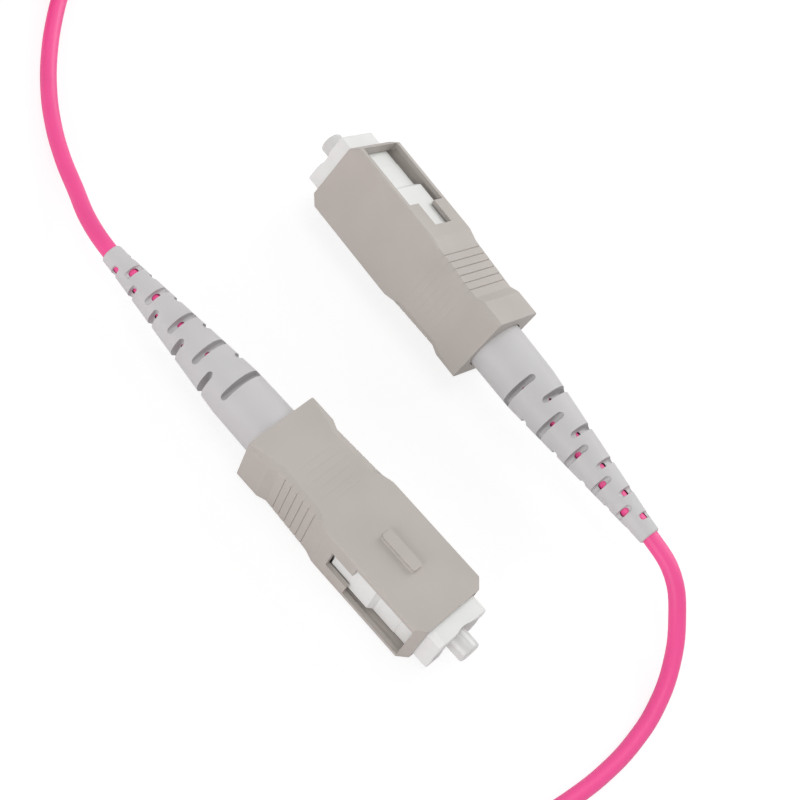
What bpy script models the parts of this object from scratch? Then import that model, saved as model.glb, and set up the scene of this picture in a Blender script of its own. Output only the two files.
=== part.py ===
"""A simplex push-pull fibre patch cord at true size: two square connectors on slotted boots, joined by a thin cable.

Each connector is drawn in its own frame, then laid on the floor by placement. There +X runs from the rear of its grip
towards the tip of the ferrule, Y runs across the wide face and +Z points out of the face that carries the key.
"""

import math

import bmesh
import bpy
import numpy as np
from mathutils import Matrix, Vector

# Rounding of the turned pieces
ROUND_SIDES = 32
BOOT_SIDES = 24
SMALL_SIDES = 12
ARC_STEPS = 4
SLOT_ARC_STEPS = 3
COIL_SIDES = 48
COIL_ARC_STEPS = 2
THROUGH = 0.001

# Clearances between pieces that seat, slide or stand end to end
SEAT_CLEARANCE = 0.00005
SLIDE_CLEARANCE = 0.00015
END_CLEARANCE = 0.0001

# Ferrule and the 0.9 mm buffered fibre behind it
FERRULE_RADIUS = 0.00125
FERRULE_REACH = 0.0020
FERRULE_CHAMFER = 0.0003
FERRULE_TIP_BEVEL = 0.00035
FERRULE_TRAVEL = 0.0015
FIBRE_RADIUS = 0.00045
FIBRE_ROOM = 0.0003

# Crimp, from the post outwards: post, trapped yarn, sleeve
STOP_POST_WALL = 0.00045
ARAMID_THICKNESS = 0.00028
CRIMP_WALL = 0.0003
CRIMP_NECK = 0.00015
CRIMP_OVERHANG = 0.0011
FLANGE_TAIL_RADIUS = 0.0010
FLANGE_BORE_RADIUS = FIBRE_RADIUS + END_CLEARANCE
STOP_BORE_RADIUS = FLANGE_TAIL_RADIUS + SLIDE_CLEARANCE
STOP_POST_RADIUS = STOP_BORE_RADIUS + STOP_POST_WALL
ARAMID_INNER_RADIUS = STOP_POST_RADIUS + SEAT_CLEARANCE
ARAMID_RADIUS = ARAMID_INNER_RADIUS + ARAMID_THICKNESS
CRIMP_INNER_RADIUS = ARAMID_RADIUS + SEAT_CLEARANCE
CRIMP_RADIUS = CRIMP_INNER_RADIUS + CRIMP_WALL

# Cable: 1 m from ferrule tip to ferrule tip
CABLE_RADIUS = 0.0009
CABLE_STRAIGHT = 0.0020
CABLE_STEP = 0.0045
CABLE_RESOLUTION = 2

# Boot: the long slotted strain relief
BOOT_EXPOSED_LENGTH = 0.0255
BOOT_INSERT = 0.0025
BOOT_SET_BACK = 0.0005
BOOT_PARALLEL = 0.0025
BOOT_TAIL = -BOOT_EXPOSED_LENGTH
BOOT_BARREL_WALL = 0.00077
BOOT_CRIMP_BORE = CRIMP_RADIUS + SEAT_CLEARANCE
BOOT_BARREL_RADIUS = BOOT_CRIMP_BORE + BOOT_BARREL_WALL
BOOT_SHOULDER_DROP = 0.0001
BOOT_SHOULDER_RADIUS = BOOT_BARREL_RADIUS - BOOT_SHOULDER_DROP
BOOT_TAIL_CLEARANCE = 0.00008
BOOT_TAIL_WALL = 0.00019
BOOT_TAIL_BORE_RADIUS = CABLE_RADIUS + BOOT_TAIL_CLEARANCE
BOOT_TAIL_RADIUS = BOOT_TAIL_BORE_RADIUS + BOOT_TAIL_WALL
BOOT_BORE_RADIUS = CABLE_RADIUS + SLIDE_CLEARANCE
BOOT_COLLAR_LENGTH = 0.0013
BOOT_COLLAR_START = BOOT_TAIL + BOOT_COLLAR_LENGTH
BOOT_COLLAR_TAPER = 0.00007
BOOT_COLLAR_RADIUS = BOOT_TAIL_RADIUS + BOOT_COLLAR_TAPER
BOOT_EDGE = 0.00012
BOOT_BORE_STEP = 0.0004
BOOT_SHOULDER_LEAD = 0.0007
SLOT_FACE_PLACE_SHARES = (0.038, 0.271, 0.471, 0.661, 0.833)
SLOT_SIDE_PLACE_SHARES = (0.167, 0.389, 0.588, 0.760, 0.905)
SLOT_HALF_WIDTH = 0.00046
SLOT_HALF_ANGLE = math.radians(56.0)
SLOT_REACH = BOOT_BARREL_RADIUS + THROUGH
SLOT_COVER = 0.00013
SLOT_OPENING = 0.00027

# Grip: the sliding outer sleeve, 9 mm across and 7.4 mm through
GRIP_LENGTH = 0.0250
GRIP_HALF_WIDTH = 0.0045
GRIP_HALF_HEIGHT = 0.0037
GRIP_TIP_CHAMFER = 0.00095
GRIP_EDGE = 0.00015
GRIP_PLATE = 0.0005
GRIP_SIDE_WALL = 0.0005
GRIP_FRONT_WALL = 0.0012
REAR_PANEL_END = 0.0030
REAR_PANEL_INSET = 0.00022
FLARE_LENGTH = 0.0010
FLARE_END = REAR_PANEL_END + FLARE_LENGTH
GRIP_BORE_RADIUS = BOOT_BARREL_RADIUS + SLIDE_CLEARANCE
KEY_FRONT_GAP = 0.0052
KEY_LENGTH = 0.0047
KEY_HALF_WIDTH = 0.0006
KEY_HEIGHT = 0.0008
KEY_CORNER = 0.0003
KEY_BLEND = 0.00012
KEY_SINK = 0.0002
KEY_END = GRIP_LENGTH - KEY_FRONT_GAP
KEY_START = KEY_END - KEY_LENGTH
CAVITY_END = GRIP_LENGTH - GRIP_FRONT_WALL
CAVITY_HALF_WIDTH = GRIP_HALF_WIDTH - GRIP_SIDE_WALL
CAVITY_HALF_HEIGHT = GRIP_HALF_HEIGHT - GRIP_PLATE

# Plug frame: the white body that the grip slides along, from its nose back to its collar
FRAME_NOSE_REACH = 0.0019
FRAME_TIP = GRIP_LENGTH + FRAME_NOSE_REACH
FRAME_PLATE_CLEARANCE = 0.0002
FRAME_HALF_WIDTH = 0.0032
FRAME_HALF_HEIGHT = CAVITY_HALF_HEIGHT - FRAME_PLATE_CLEARANCE
FRAME_STEP_BACK = 0.0047
FRAME_STEP = FRAME_TIP - FRAME_STEP_BACK
FRAME_STEP_HEIGHT = 0.00005
FRAME_KEY_CHAMFER_WIDTH = 0.00054
FRAME_KEY_CHAMFER_HEIGHT = 0.0006
FRAME_EDGE = 0.0001
RECESS_DEPTH = 0.0056
RECESS_WALL = 0.0003
RECESS_RADIUS = FRAME_HALF_HEIGHT - RECESS_WALL
RECESS_FLARE = 0.0005
RECESS_FLARE_DEPTH = 0.0007
SHOULDER_THICKNESS = 0.0008
SHOULDER_CLEARANCE = 0.00025
SHOULDER_END = FRAME_TIP - RECESS_DEPTH
SHOULDER_START = SHOULDER_END - SHOULDER_THICKNESS
SHOULDER_RADIUS = FERRULE_RADIUS + SHOULDER_CLEARANCE
MOUTH_HALF_WIDTH = FRAME_HALF_WIDTH + SLIDE_CLEARANCE

# Flange that holds the ferrule, then the spring behind it
FLANGE_RADIUS = 0.0023
FLANGE_CHAMFER = 0.0003
FLANGE_HUB_LENGTH = 0.0028
FLANGE_TAIL_LENGTH = 0.0042
FLANGE_FLOOR = 0.0008
FLANGE_SLOT_COUNT = 4
FLANGE_SLOT_HALF_WIDTH = 0.0004
FLANGE_SLOT_DEPTH = 0.0005
FLANGE_SLOT_LENGTH = 0.0012
FLANGE_FRONT = SHOULDER_START - END_CLEARANCE
FLANGE_REAR = FLANGE_FRONT - FLANGE_HUB_LENGTH
FLANGE_TAIL = FLANGE_REAR - FLANGE_TAIL_LENGTH
FERRULE_REAR = FLANGE_REAR + FLANGE_FLOOR
FERRULE_TIP = FRAME_TIP + FERRULE_REACH
FRAME_BORE_CLEARANCE = 0.0002
FRAME_BORE_RADIUS = FLANGE_RADIUS + FRAME_BORE_CLEARANCE
SPRING_LENGTH = 0.0048
SPRING_WIRE_RADIUS = 0.00025
SPRING_SIDE_GAP = 0.0004
SPRING_RADIUS = FRAME_BORE_RADIUS - SPRING_SIDE_GAP - SPRING_WIRE_RADIUS
SPRING_TURNS = 6
SPRING_POINTS_PER_TURN = 12
SPRING_END = FLANGE_REAR - SLIDE_CLEARANCE
SPRING_START = SPRING_END - SPRING_LENGTH

# Frame collar, latches and stop body, each set back from the spring
FRAME_COLLAR_LENGTH = 0.0024
FRAME_BODY_START = SPRING_START - SLIDE_CLEARANCE
FRAME_REAR = FRAME_BODY_START - FRAME_COLLAR_LENGTH
FRAME_COLLAR_RADIUS = GRIP_BORE_RADIUS - SLIDE_CLEARANCE
FRAME_COLLAR_DRAFT = 0.00015
CAVITY_LEAD = 0.0003
CAVITY_START = FRAME_BODY_START - CAVITY_LEAD

# Waist of the grip, set back from the cavity, with as many finger grooves as its length takes
WAIST_SET_BACK = 0.0006
WAIST_RUN_OUT = 0.0012
WAIST_INSET = 0.00062
WAIST_FRONT_INSET = 0.0003
WAIST_END = CAVITY_START - WAIST_SET_BACK
WAIST_FRONT = WAIST_END - WAIST_RUN_OUT
CORNER_LEAD = 0.0006
CORNER_TRAIL = 0.0005
CORNER_RUN_END = WAIST_FRONT - CORNER_LEAD
CORNER_END = WAIST_END + CORNER_TRAIL
STRIP_REAR = 0.0003
STRIP_WIDEST = 0.00074
STRIP_WAIST = 0.0007
STRIP_DROP = 0.0003
GROOVE_LEAD = 0.0010
GROOVE_TRAIL = 0.0008
GROOVE_PITCH = 0.0009
GROOVE_HALF_WIDTH = 0.0001
GROOVE_DEPTH = 0.0001
GROOVE_FIRST = FLARE_END + GROOVE_LEAD
GROOVE_ROOM = WAIST_FRONT - GROOVE_TRAIL - GROOVE_FIRST
GROOVE_COUNT = int(GROOVE_ROOM / GROOVE_PITCH) + 1

# Latches of the plug frame and the windows that show them
LATCH_SET_BACK = 0.0008
LATCH_LENGTH = 0.00544
LATCH_RAMP = 0.00062
LATCH_START = FRAME_BODY_START + LATCH_SET_BACK
LATCH_END = LATCH_START + LATCH_LENGTH
LATCH_RAMP_END = LATCH_END + LATCH_RAMP
LATCH_REACH = CAVITY_HALF_WIDTH - SLIDE_CLEARANCE
LATCH_SIDE_GAP = 0.00025
LATCH_HALF_HEIGHT = FRAME_HALF_HEIGHT - LATCH_SIDE_GAP
LATCH_BEVEL = 0.00025
WINDOW_LEAD = 0.0002
WINDOW_NARROW_LENGTH = 0.00295
WINDOW_START = LATCH_START - WINDOW_LEAD
WINDOW_STEP = WINDOW_START + WINDOW_NARROW_LENGTH
WINDOW_END = GRIP_LENGTH - GRIP_TIP_CHAMFER
WINDOW_NARROW = 0.0015
WINDOW_LIP = 0.00015
WINDOW_WIDE = CAVITY_HALF_HEIGHT - WINDOW_LIP

# Stop body and crimp: the collar follows the frame, the post and all behind it follow the boot
STOP_SLEEVE_END = FRAME_BODY_START
STOP_SLEEVE_START = FRAME_REAR - END_CLEARANCE
STOP_SLEEVE_RADIUS = FRAME_BORE_RADIUS - END_CLEARANCE
STOP_COLLAR_LENGTH = 0.0015
STOP_COLLAR_START = STOP_SLEEVE_START - STOP_COLLAR_LENGTH
STOP_COLLAR_SET_IN = 0.0002
STOP_COLLAR_RADIUS = FRAME_COLLAR_RADIUS - STOP_COLLAR_SET_IN
STOP_BODY_RADIUS = 0.0025
STOP_BODY_START = BOOT_INSERT + BOOT_SET_BACK
STOP_POST_LENGTH = 0.0065
STOP_POST_END = STOP_BODY_START - STOP_POST_LENGTH
CRIMP_FRONT = STOP_BODY_START - END_CLEARANCE
CRIMP_REAR = STOP_POST_END - CRIMP_OVERHANG
ARAMID_SET_BACK = 0.0004
ARAMID_FRONT = CRIMP_FRONT - ARAMID_SET_BACK
ARAMID_REAR = STOP_POST_END + SLIDE_CLEARANCE
CABLE_SET_BACK = 0.0003
CABLE_REAR = CRIMP_REAR - CABLE_SET_BACK
FIBRE_FRONT = FERRULE_REAR - FERRULE_TRAVEL - FIBRE_ROOM
FIBRE_REAR = CABLE_REAR + END_CLEARANCE
BOOT_FRONT = BOOT_INSERT
BOOT_TAPER_START = BOOT_FRONT - BOOT_PARALLEL
BOOT_CRIMP_BORE_END = CRIMP_REAR - CABLE_SET_BACK
BOOT_BORE_START = BOOT_CRIMP_BORE_END - BOOT_BORE_STEP
BOOT_SHOULDER = BOOT_BORE_START - BOOT_SHOULDER_LEAD

# Where the two connectors lie: rear of each grip, heading and roll about its own length
NEAR_PLACE = (-0.01052, -0.00692)
NEAR_HEADING = math.radians(-47.0)
NEAR_ROLL = math.radians(0.0)
FAR_PLACE = (0.01212, 0.00532)
FAR_HEADING = math.radians(128.1)
FAR_ROLL = math.radians(243.2)

# Coil and the strap round it, then the cable's route on the floor
COIL_CENTRE = (-0.0474, 0.0594)
COIL_MIDDLE_RADIUS = 0.0106
COIL_LAYERS = 4
COIL_TURNS_ACROSS = 2.375
COIL_EDGE = 0.0008
TIE_HEADING = math.radians(115.0)
TIE_WIDTH = 0.0060
TIE_THICKNESS = 0.0004
TIE_GAP = 0.0003
TIE_CORNER_EASE = 0.0002
TIE_CORNER = COIL_EDGE + TIE_CORNER_EASE
TIE_STEPS = 4
CABLE_LIFT = 0.00005
CABLE_LIE = CABLE_RADIUS + CABLE_LIFT
NEAR_ROUTE = (
    (-0.0315, 0.0186, 0.0025),
    (-0.0338, 0.0247, 0.0014),
    (-0.0355, 0.0315, CABLE_LIE),
    (-0.0360, 0.0400, CABLE_LIE),
)
FAR_ROUTE = (
    (0.0306, -0.0195, 0.0047),
    (0.0310, -0.0237, 0.0031),
    (0.0303, -0.0282, 0.0017),
    (0.0282, -0.0325, CABLE_LIE),
    (0.0246, -0.0368, CABLE_LIE),
    (0.0196, -0.0409, CABLE_LIE),
    (0.0050, -0.0490, CABLE_LIE),
    (-0.0120, -0.0540, CABLE_LIE),
    (-0.0280, -0.0535, CABLE_LIE),
    (-0.0405, -0.0465, CABLE_LIE),
    (-0.0470, -0.0330, CABLE_LIE),
    (-0.0510, -0.0120, CABLE_LIE),
    (-0.0548, 0.0120, CABLE_LIE),
    (-0.0582, 0.0320, 0.0020),
    (-0.0598, 0.0440, 0.0050),
)


def clear_scene():
    """Remove whatever the file opened with."""
    for found in list(bpy.data.objects):
        bpy.data.objects.remove(found, do_unlink=True)


def material(name, colour, roughness, metallic=0.0):
    """A plain Principled material."""
    made = bpy.data.materials.new(name)
    made.use_nodes = True
    shader = made.node_tree.nodes["Principled BSDF"]
    shader.inputs["Base Color"].default_value = (*colour, 1.0)
    shader.inputs["Roughness"].default_value = roughness
    shader.inputs["Metallic"].default_value = metallic
    return made


def solid(name, rings, closed_along, surface):
    """One closed body from rings of points: joined end to end when closed_along, else capped at both ends."""
    shape = bmesh.new()
    loops = [[shape.verts.new(point) for point in ring] for ring in rings]
    count = len(loops)
    pairs = count if closed_along else count - 1
    for place in range(pairs):
        here = loops[place]
        there = loops[(place + 1) % count]
        for side in range(len(here)):
            after = (side + 1) % len(here)
            shape.faces.new((here[side], here[after], there[after], there[side]))
    if not closed_along:
        shape.faces.new(list(reversed(loops[0])))
        shape.faces.new(loops[-1])
    bmesh.ops.recalc_face_normals(shape, faces=shape.faces)
    mesh = bpy.data.meshes.new(name)
    shape.to_mesh(mesh)
    shape.free()
    made = bpy.data.objects.new(name, mesh)
    if surface is not None:
        made.data.materials.append(surface)
    bpy.context.scene.collection.objects.link(made)
    return made


def circle(along, radius, sides):
    """A ring of points round the X axis."""
    turns = [math.tau * place / sides for place in range(sides)]
    return [Vector((along, radius * math.cos(turn), radius * math.sin(turn))) for turn in turns]


def turned(name, outline, sides, surface):
    """A tube turned from a closed outline of (along, radius) points."""
    return solid(name, [circle(along, radius, sides) for along, radius in outline], True, surface)


def rod(name, outline, sides, surface):
    """A turned solid with flat ends, from (along, radius) points."""
    return solid(name, [circle(along, radius, sides) for along, radius in outline], False, surface)


def prism(name, outline, low, high, axes, surface):
    """An outline of (first, second) points drawn in the plane of two axes and pushed along the third."""
    first, second, third = axes
    rings = []
    for level in (low, high):
        ring = []
        for one, two in outline:
            point = Vector((0.0, 0.0, 0.0))
            point[first] = one
            point[second] = two
            point[third] = level
            ring.append(point)
        rings.append(ring)
    return solid(name, rings, False, surface)


def combine(target, tool, operation):
    """Add or cut one body with another, which is then hidden."""
    step = target.modifiers.new(tool.name, "BOOLEAN")
    step.operation = operation
    step.solver = "EXACT"
    step.object = tool
    tool.parent = target
    tool.hide_render = True
    tool.display_type = "WIRE"


def joined(name, pieces, surface=None):
    """Several separate bodies as one mesh, for a row of like cuts."""
    shape = bmesh.new()
    for piece in pieces:
        shape.from_mesh(piece.data)
        bpy.data.objects.remove(piece, do_unlink=True)
    mesh = bpy.data.meshes.new(name)
    shape.to_mesh(mesh)
    shape.free()
    made = bpy.data.objects.new(name, mesh)
    if surface is not None:
        made.data.materials.append(surface)
    bpy.context.scene.collection.objects.link(made)
    return made


def stadium(centre, half_length, half_width):
    """A slot outline with round ends, its length across the X axis."""
    points = []
    for end in (1.0, -1.0):
        for step in range(SLOT_ARC_STEPS + 1):
            turn = math.pi * step / SLOT_ARC_STEPS
            sway = half_width * math.cos(turn) * end
            reach = (half_length - half_width + half_width * math.sin(turn)) * end
            points.append((centre + sway, reach))
    return points


def rounded_box(half_length, half_width, corner, steps=ARC_STEPS):
    """A rectangle with round corners about its middle."""
    points = []
    for quarter in range(4):
        middle = (math.pi / 2.0) * (quarter + 0.5)
        across = math.copysign(half_length - corner, math.cos(middle))
        up = math.copysign(half_width - corner, math.sin(middle))
        for step in range(steps + 1):
            turn = (math.pi / 2.0) * (quarter + step / steps)
            points.append((across + corner * math.cos(turn), up + corner * math.sin(turn)))
    return points


def waist_width(along):
    """Half width of the grip between its window sides, without the grooves."""
    stations = (0.0, REAR_PANEL_END, FLARE_END, WAIST_FRONT, WAIST_END, WINDOW_END, GRIP_LENGTH)
    insets = (REAR_PANEL_INSET, REAR_PANEL_INSET, WAIST_INSET, WAIST_FRONT_INSET, 0.0, 0.0, GRIP_TIP_CHAMFER)
    return GRIP_HALF_WIDTH - float(np.interp(along, stations, insets))


def grip_section(along, inset=0.0):
    """The grip's eight-cornered section: a shallow strip along each long edge dies out ahead of the waist."""
    places = (0.0, REAR_PANEL_END, FLARE_END, CORNER_END)
    strip = float(np.interp(along, places, (STRIP_REAR, STRIP_WIDEST, STRIP_WAIST, GRIP_EDGE)))
    drop = float(np.interp(along, (CORNER_RUN_END, CORNER_END), (STRIP_DROP, GRIP_EDGE)))
    face_edge = waist_width(along) - strip
    width = waist_width(along) - inset
    side_edge = GRIP_HALF_HEIGHT - drop
    upper = ((face_edge, GRIP_HALF_HEIGHT), (width, side_edge))
    lower = ((width, -side_edge), (face_edge, -GRIP_HALF_HEIGHT))
    corners = (*upper, *lower)
    right = [Vector((along, across, up)) for across, up in corners]
    left = [Vector((along, -across, up)) for across, up in reversed(corners)]
    return right + left


def make_grip(name, surface):
    """The sliding grip: waisted sides with finger grooves, side windows for the latches and the key on one face."""
    stations = [(0.0, 0.0), (REAR_PANEL_END, 0.0), (FLARE_END, 0.0)]
    for place in range(GROOVE_COUNT):
        middle = GROOVE_FIRST + GROOVE_PITCH * place
        stations.append((middle - GROOVE_HALF_WIDTH, 0.0))
        stations.append((middle, GROOVE_DEPTH))
        stations.append((middle + GROOVE_HALF_WIDTH, 0.0))
    for along in (CORNER_RUN_END, WAIST_FRONT, WAIST_END, CORNER_END, WINDOW_END, GRIP_LENGTH):
        stations.append((along, 0.0))
    grip = solid(name, [grip_section(along, inset) for along, inset in stations], False, surface)

    key_middle = (KEY_START + KEY_END) / 2.0
    key_half = (KEY_END - KEY_START) / 2.0
    levels = (
        (GRIP_HALF_HEIGHT - KEY_SINK, KEY_BLEND),
        (GRIP_HALF_HEIGHT, KEY_BLEND),
        (GRIP_HALF_HEIGHT + KEY_BLEND, 0.0),
        (GRIP_HALF_HEIGHT + KEY_HEIGHT - KEY_BLEND, 0.0),
        (GRIP_HALF_HEIGHT + KEY_HEIGHT, -KEY_BLEND),
    )
    rings = []
    for level, spread in levels:
        outline = rounded_box(key_half + spread, KEY_HALF_WIDTH + spread, KEY_CORNER + spread)
        rings.append([Vector((key_middle + along, across, level)) for along, across in outline])
    combine(grip, solid(name + ".key", rings, False, None), "UNION")

    bore_outline = ((-THROUGH, GRIP_BORE_RADIUS), (CAVITY_START + THROUGH / 2.0, GRIP_BORE_RADIUS))
    combine(grip, rod(name + ".bore", bore_outline, ROUND_SIDES, None), "DIFFERENCE")
    cavity = (
        (CAVITY_START, CAVITY_HALF_WIDTH),
        (CAVITY_END, CAVITY_HALF_WIDTH),
        (CAVITY_END, MOUTH_HALF_WIDTH),
        (GRIP_LENGTH + THROUGH, MOUTH_HALF_WIDTH),
    )
    mirrored = [(along, -across) for along, across in reversed(cavity)]
    hollow = prism(name + ".hollow", [*cavity, *mirrored], -CAVITY_HALF_HEIGHT, CAVITY_HALF_HEIGHT, (0, 1, 2), None)
    combine(grip, hollow, "DIFFERENCE")
    window = (
        (WINDOW_START, WINDOW_NARROW),
        (WINDOW_STEP, WINDOW_NARROW),
        (WINDOW_STEP, WINDOW_WIDE),
        (WINDOW_END, WINDOW_WIDE),
    )
    lower = [(along, -up) for along, up in reversed(window)]
    reach = GRIP_HALF_WIDTH + THROUGH
    combine(grip, prism(name + ".windows", [*window, *lower], -reach, reach, (0, 2, 1), None), "DIFFERENCE")
    return grip


def frame_section(along, half_width, edge=0.0):
    """The plug frame's section: the two corners beside the key are cut, the other two are full."""
    top = FRAME_HALF_HEIGHT - edge
    wide = half_width - edge
    corners = (
        (wide - FRAME_KEY_CHAMFER_WIDTH, top),
        (wide, top - FRAME_KEY_CHAMFER_HEIGHT),
        (wide, -top + FRAME_EDGE),
        (wide - FRAME_EDGE, -top),
    )
    right = [Vector((along, across, up)) for across, up in corners]
    left = [Vector((along, -across, up)) for across, up in reversed(corners)]
    return right + left


def make_plug_frame(name, surface):
    """The white frame: round collar behind, two side latches with ramps, and a flared round recess at the nose."""
    wide = FRAME_HALF_WIDTH + FRAME_STEP_HEIGHT
    sections = (
        frame_section(FRAME_BODY_START, wide),
        frame_section(FRAME_STEP, wide),
        frame_section(FRAME_STEP + FRAME_STEP_HEIGHT, FRAME_HALF_WIDTH),
        frame_section(FRAME_TIP - FRAME_EDGE, FRAME_HALF_WIDTH),
        frame_section(FRAME_TIP, FRAME_HALF_WIDTH, FRAME_EDGE),
    )
    frame = solid(name, sections, False, surface)
    collar_outline = (
        (FRAME_REAR, FRAME_COLLAR_RADIUS),
        (FRAME_BODY_START + THROUGH / 2.0, FRAME_COLLAR_RADIUS - FRAME_COLLAR_DRAFT),
    )
    combine(frame, rod(name + ".collar", collar_outline, ROUND_SIDES, None), "UNION")
    latches = []
    root = FRAME_HALF_WIDTH - THROUGH / 2.0
    levels = (
        (-LATCH_HALF_HEIGHT, LATCH_BEVEL),
        (-LATCH_HALF_HEIGHT + LATCH_BEVEL, 0.0),
        (LATCH_HALF_HEIGHT - LATCH_BEVEL, 0.0),
        (LATCH_HALF_HEIGHT, LATCH_BEVEL),
    )
    for side in (1.0, -1.0):
        rings = []
        for level, drop in levels:
            outline = (
                (LATCH_START, root),
                (LATCH_START, LATCH_REACH - drop),
                (LATCH_END, LATCH_REACH - drop),
                (LATCH_RAMP_END, FRAME_HALF_WIDTH - FRAME_STEP_HEIGHT),
                (LATCH_RAMP_END, root),
            )
            rings.append([Vector((along, across * side, level)) for along, across in outline])
        latches.append(solid(name + ".latch", rings, False, None))
    combine(frame, joined(name + ".latches", latches), "UNION")
    bore_outline = (
        (FRAME_REAR - THROUGH, FRAME_BORE_RADIUS),
        (SHOULDER_START, FRAME_BORE_RADIUS),
        (SHOULDER_START, SHOULDER_RADIUS),
        (SHOULDER_END, SHOULDER_RADIUS),
        (SHOULDER_END, RECESS_RADIUS),
        (FRAME_TIP - RECESS_FLARE_DEPTH, RECESS_RADIUS),
        (FRAME_TIP, RECESS_RADIUS + RECESS_FLARE),
        (FRAME_TIP + THROUGH, RECESS_RADIUS + RECESS_FLARE),
    )
    combine(frame, rod(name + ".bore", bore_outline, ROUND_SIDES, None), "DIFFERENCE")
    return frame


def make_flange(name, surface):
    """The ferrule's flange: a hub with four slots at its front edge and a tube behind, inside the spring."""
    outline = (
        (FLANGE_TAIL, FLANGE_BORE_RADIUS),
        (FLANGE_TAIL, FLANGE_TAIL_RADIUS),
        (FLANGE_REAR, FLANGE_TAIL_RADIUS),
        (FLANGE_REAR, FLANGE_RADIUS),
        (FLANGE_FRONT - FLANGE_CHAMFER, FLANGE_RADIUS),
        (FLANGE_FRONT, FLANGE_RADIUS - FLANGE_CHAMFER),
        (FLANGE_FRONT, FERRULE_RADIUS + SEAT_CLEARANCE),
        (FERRULE_REAR - SEAT_CLEARANCE, FERRULE_RADIUS + SEAT_CLEARANCE),
        (FERRULE_REAR - SEAT_CLEARANCE, FLANGE_BORE_RADIUS),
    )
    flange = turned(name, outline, ROUND_SIDES, surface)
    cuts = []
    half = FLANGE_SLOT_HALF_WIDTH
    for place in range(FLANGE_SLOT_COUNT):
        turn = math.tau * (place + 0.5) / FLANGE_SLOT_COUNT
        square = (
            (FLANGE_FRONT - FLANGE_SLOT_LENGTH, FLANGE_RADIUS - FLANGE_SLOT_DEPTH),
            (FLANGE_FRONT + THROUGH, FLANGE_RADIUS - FLANGE_SLOT_DEPTH),
            (FLANGE_FRONT + THROUGH, FLANGE_RADIUS + THROUGH),
            (FLANGE_FRONT - FLANGE_SLOT_LENGTH, FLANGE_RADIUS + THROUGH),
        )
        cutter = prism(name + ".slot", square, -half, half, (0, 1, 2), None)
        cutter.data.transform(Matrix.Rotation(turn, 4, "X"))
        cuts.append(cutter)
    combine(flange, joined(name + ".slots", cuts), "DIFFERENCE")
    return flange


def make_spring(name, surface):
    """The return spring: an open coil wound round the flange's tail."""
    total = SPRING_TURNS * SPRING_POINTS_PER_TURN
    pitch = (SPRING_END - SPRING_START - 2.0 * SPRING_WIRE_RADIUS) / total
    line = bpy.data.curves.new(name, "CURVE")
    line.dimensions = "3D"
    line.bevel_depth = SPRING_WIRE_RADIUS
    line.bevel_resolution = 1
    line.use_fill_caps = True
    spline = line.splines.new("POLY")
    spline.points.add(total)
    for place in range(total + 1):
        turn = math.tau * place / SPRING_POINTS_PER_TURN
        along = SPRING_START + SPRING_WIRE_RADIUS + pitch * place
        spline.points[place].co = (along, SPRING_RADIUS * math.cos(turn), SPRING_RADIUS * math.sin(turn), 1.0)
    line.materials.append(surface)
    made = bpy.data.objects.new(name, line)
    bpy.context.scene.collection.objects.link(made)
    return made


def make_stop_body(name, surface):
    """The metal stop body: front sleeve in the frame, collar behind it, and the post that the cable is crimped on."""
    outline = (
        (STOP_POST_END, STOP_BORE_RADIUS),
        (STOP_POST_END, STOP_POST_RADIUS),
        (STOP_BODY_START, STOP_POST_RADIUS),
        (STOP_BODY_START, STOP_BODY_RADIUS),
        (STOP_COLLAR_START, STOP_BODY_RADIUS),
        (STOP_COLLAR_START, STOP_COLLAR_RADIUS),
        (STOP_SLEEVE_START, STOP_COLLAR_RADIUS),
        (STOP_SLEEVE_START, STOP_SLEEVE_RADIUS),
        (STOP_SLEEVE_END, STOP_SLEEVE_RADIUS),
        (STOP_SLEEVE_END, STOP_BORE_RADIUS),
    )
    return turned(name, outline, ROUND_SIDES, surface)


def boot_radius(along):
    """Outer radius of the boot at a place along it."""
    stations = (BOOT_TAIL, BOOT_COLLAR_START, BOOT_SHOULDER, BOOT_TAPER_START, BOOT_FRONT)
    radii = (BOOT_TAIL_RADIUS, BOOT_COLLAR_RADIUS, BOOT_SHOULDER_RADIUS, BOOT_BARREL_RADIUS, BOOT_BARREL_RADIUS)
    return float(np.interp(along, stations, radii))


def make_boot(name, surface):
    """The strain relief: a long taper with two rows of slots, cut from both sides and deepening to the tail."""
    outline = (
        (BOOT_FRONT, BOOT_CRIMP_BORE),
        (BOOT_FRONT, BOOT_BARREL_RADIUS),
        (BOOT_TAPER_START, BOOT_BARREL_RADIUS),
        (BOOT_SHOULDER, BOOT_SHOULDER_RADIUS),
        (BOOT_COLLAR_START, BOOT_COLLAR_RADIUS),
        (BOOT_TAIL + BOOT_EDGE, BOOT_TAIL_RADIUS),
        (BOOT_TAIL, BOOT_TAIL_RADIUS - BOOT_EDGE),
        (BOOT_TAIL, BOOT_TAIL_BORE_RADIUS),
        (BOOT_BORE_START, BOOT_BORE_RADIUS),
        (BOOT_CRIMP_BORE_END, BOOT_CRIMP_BORE),
    )
    boot = turned(name, outline, BOOT_SIDES, surface)
    rows = (("faces", SLOT_FACE_PLACE_SHARES, (0, 1, 2)), ("sides", SLOT_SIDE_PLACE_SHARES, (0, 2, 1)))
    for row, shares, axes in rows:
        cuts = []
        for share in shares:
            place = BOOT_CRIMP_BORE_END + (BOOT_TAIL - BOOT_CRIMP_BORE_END) * share
            half_length = boot_radius(place) * math.sin(SLOT_HALF_ANGLE)
            floor = BOOT_BORE_RADIUS + SLOT_COVER - (SLOT_COVER + SLOT_OPENING) * share
            outline = stadium(place, half_length, SLOT_HALF_WIDTH)
            cuts.append(prism(name + ".slot", outline, floor, SLOT_REACH, axes, None))
            cuts.append(prism(name + ".slot", outline, -SLOT_REACH, -floor, axes, None))
        combine(boot, joined(name + "." + row, cuts), "DIFFERENCE")
    return boot


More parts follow.
